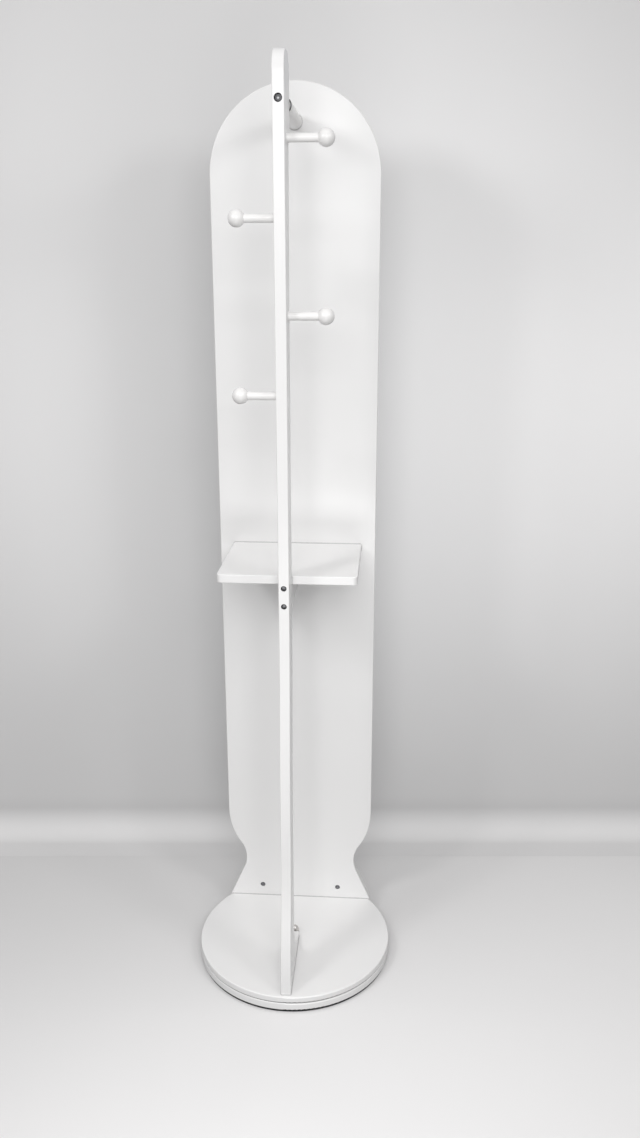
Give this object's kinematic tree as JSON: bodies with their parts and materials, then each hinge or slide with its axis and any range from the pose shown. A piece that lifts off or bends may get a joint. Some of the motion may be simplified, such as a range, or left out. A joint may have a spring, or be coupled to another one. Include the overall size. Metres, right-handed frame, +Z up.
{
  "type": "revolving hall stand",
  "caption": "Tall revolving coat stand on a round base: an arched board with a rear mirror, a slim shaped upright with pegs, a hanging rod and a shelf between them.",
  "frame": {"origin": "on the floor, on the turntable's spin axis, under the middle of the round base", "axes": "+Z up along the spin axis, +Y from the narrow upright towards the arched board, +X to the right of someone who faces the upright"},
  "size_m": [0.3699, 0.37, 1.5917],
  "materials": {
    "white_board": "satin white lacquer on fibreboard",
    "white_wood": "satin white lacquer on turned hardwood",
    "bare_wood": "bare beech",
    "rubber": "matte black anti-slip rubber",
    "bearing_plate": "pressed, satin",
    "ball_steel": "polished balls",
    "zinc_steel": "zinc-plated",
    "dark_steel": "dark nickel",
    "chrome": "polished",
    "brass": "plain brass",
    "nylon": "natural nylon",
    "foam": "foam tape",
    "mirror": "silvered glass, polished edge"
  },
  "bodies": {
    "base": {"anti_slip_ring": "rubber", "floor_disc": "white_board", "bearing_lower_plate": "bearing_plate", "lower_plate_screws": "zinc_steel", "pivot_bolt": "zinc_steel", "pivot_washer": "zinc_steel", "pivot_cap_nut": "chrome"},
    "ball_cage": {"cage_ring": "nylon", "bearing_balls": "ball_steel"},
    "turntable": {"turntable_disc": "white_board", "bearing_upper_plate": "bearing_plate", "upper_plate_screws": "zinc_steel", "pivot_bush": "nylon", "back_board": "white_board", "board_bolts": "zinc_steel", "board_barrel_nuts": "zinc_steel", "board_dowels": "bare_wood", "mirror_panel": "mirror", "mirror_tapes": "foam", "upright_post": "white_board", "post_bolts": "zinc_steel", "post_barrel_nuts": "zinc_steel", "shelf": "white_board", "shelf_rail": "white_board", "shelf_bolts": "dark_steel", "shelf_barrel_nut": "zinc_steel", "rail_barrel_nut": "zinc_steel", "rail_dowels": "bare_wood", "shelf_cam_locks": "zinc_steel", "shelf_cam_bolts": "zinc_steel", "hanging_rod": "white_wood", "rod_ring": "rubber", "rod_front_bolt": "dark_steel", "rod_insert_nut": "brass", "rod_dowel_screw": "zinc_steel", "peg_stem_right_upper": "white_wood", "peg_ball_right_upper": "white_wood", "peg_stem_right_lower": "white_wood", "peg_ball_right_lower": "white_wood", "peg_stem_left_upper": "white_wood", "peg_ball_left_upper": "white_wood", "peg_stem_left_lower": "white_wood", "peg_ball_left_lower": "white_wood", "peg_dowel_screws": "zinc_steel"}
  },
  "joints": [
    {"name": "turntable_spin", "type": "hinge", "parent": "base", "child": "turntable", "pos_m": [0, 0, 0.0272], "axis": [0, 0, 1], "continuous": true},
    {"name": "cage_spin", "type": "hinge", "parent": "base", "child": "ball_cage", "pos_m": [0, 0, 0.0172], "axis": [0, 0, 1], "continuous": true}
  ],
  "couplings": [
    {"joint": "cage_spin", "follows": "turntable_spin", "ratio": 0.5}
  ]
}
